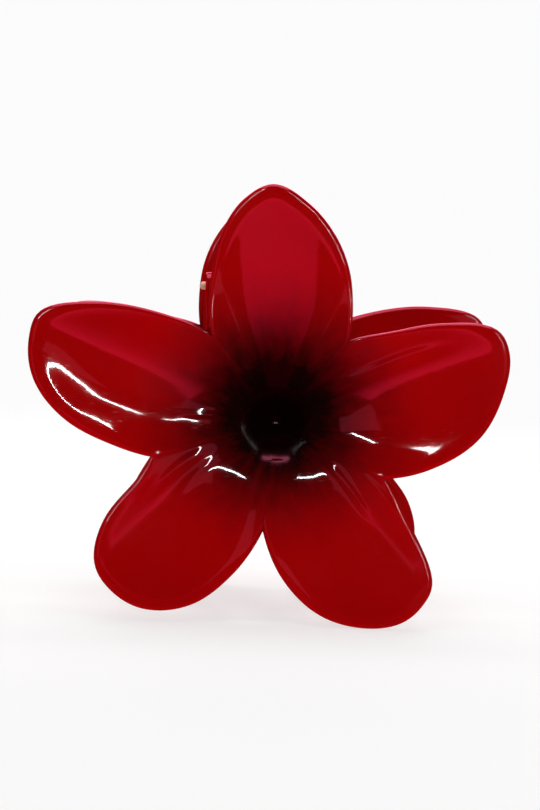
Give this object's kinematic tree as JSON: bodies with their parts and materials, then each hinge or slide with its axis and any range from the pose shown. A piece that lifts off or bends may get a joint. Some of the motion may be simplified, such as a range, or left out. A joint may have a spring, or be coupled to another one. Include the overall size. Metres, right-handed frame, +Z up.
{
  "type": "flower hair clip",
  "caption": "Claw hair clip with a five-petal flower on each side, interlocking curved teeth behind the petals and a sprung hinge; the top petals are the squeeze handles.",
  "frame": {"origin": "on the floor below the hinge pin, midway between the two flowers, at the level of the lowest petal tips", "axes": "+Z up as worn, towards the squeeze handles; the front flower faces -Y; the hinge pin runs along X"},
  "size_m": [0.0804, 0.0504, 0.0737],
  "materials": {
    "red_plastic": "high-gloss moulded plastic, deep red petals shaded to black in the throat",
    "pin_steel": "bright drawn wire",
    "spring_steel": "bright spring wire"
  },
  "bodies": {
    "front_half": {"front_flower": "red_plastic", "front_hinge_lugs": "red_plastic", "front_teeth": "red_plastic", "hinge_pin": "pin_steel", "torsion_spring": "spring_steel"},
    "rear_half": {"rear_flower": "red_plastic", "rear_hinge_lugs": "red_plastic", "rear_teeth": "red_plastic"}
  },
  "joints": [
    {"name": "jaw_hinge", "type": "hinge", "parent": "front_half", "child": "rear_half", "pos_m": [0, 0, 0.05594], "axis": [1, 0, 0], "range_deg": [0, 45], "stiffness_Nm_per_rad": 0.15, "springref_deg": -28.65, "deforming": ["torsion_spring"]}
  ]
}
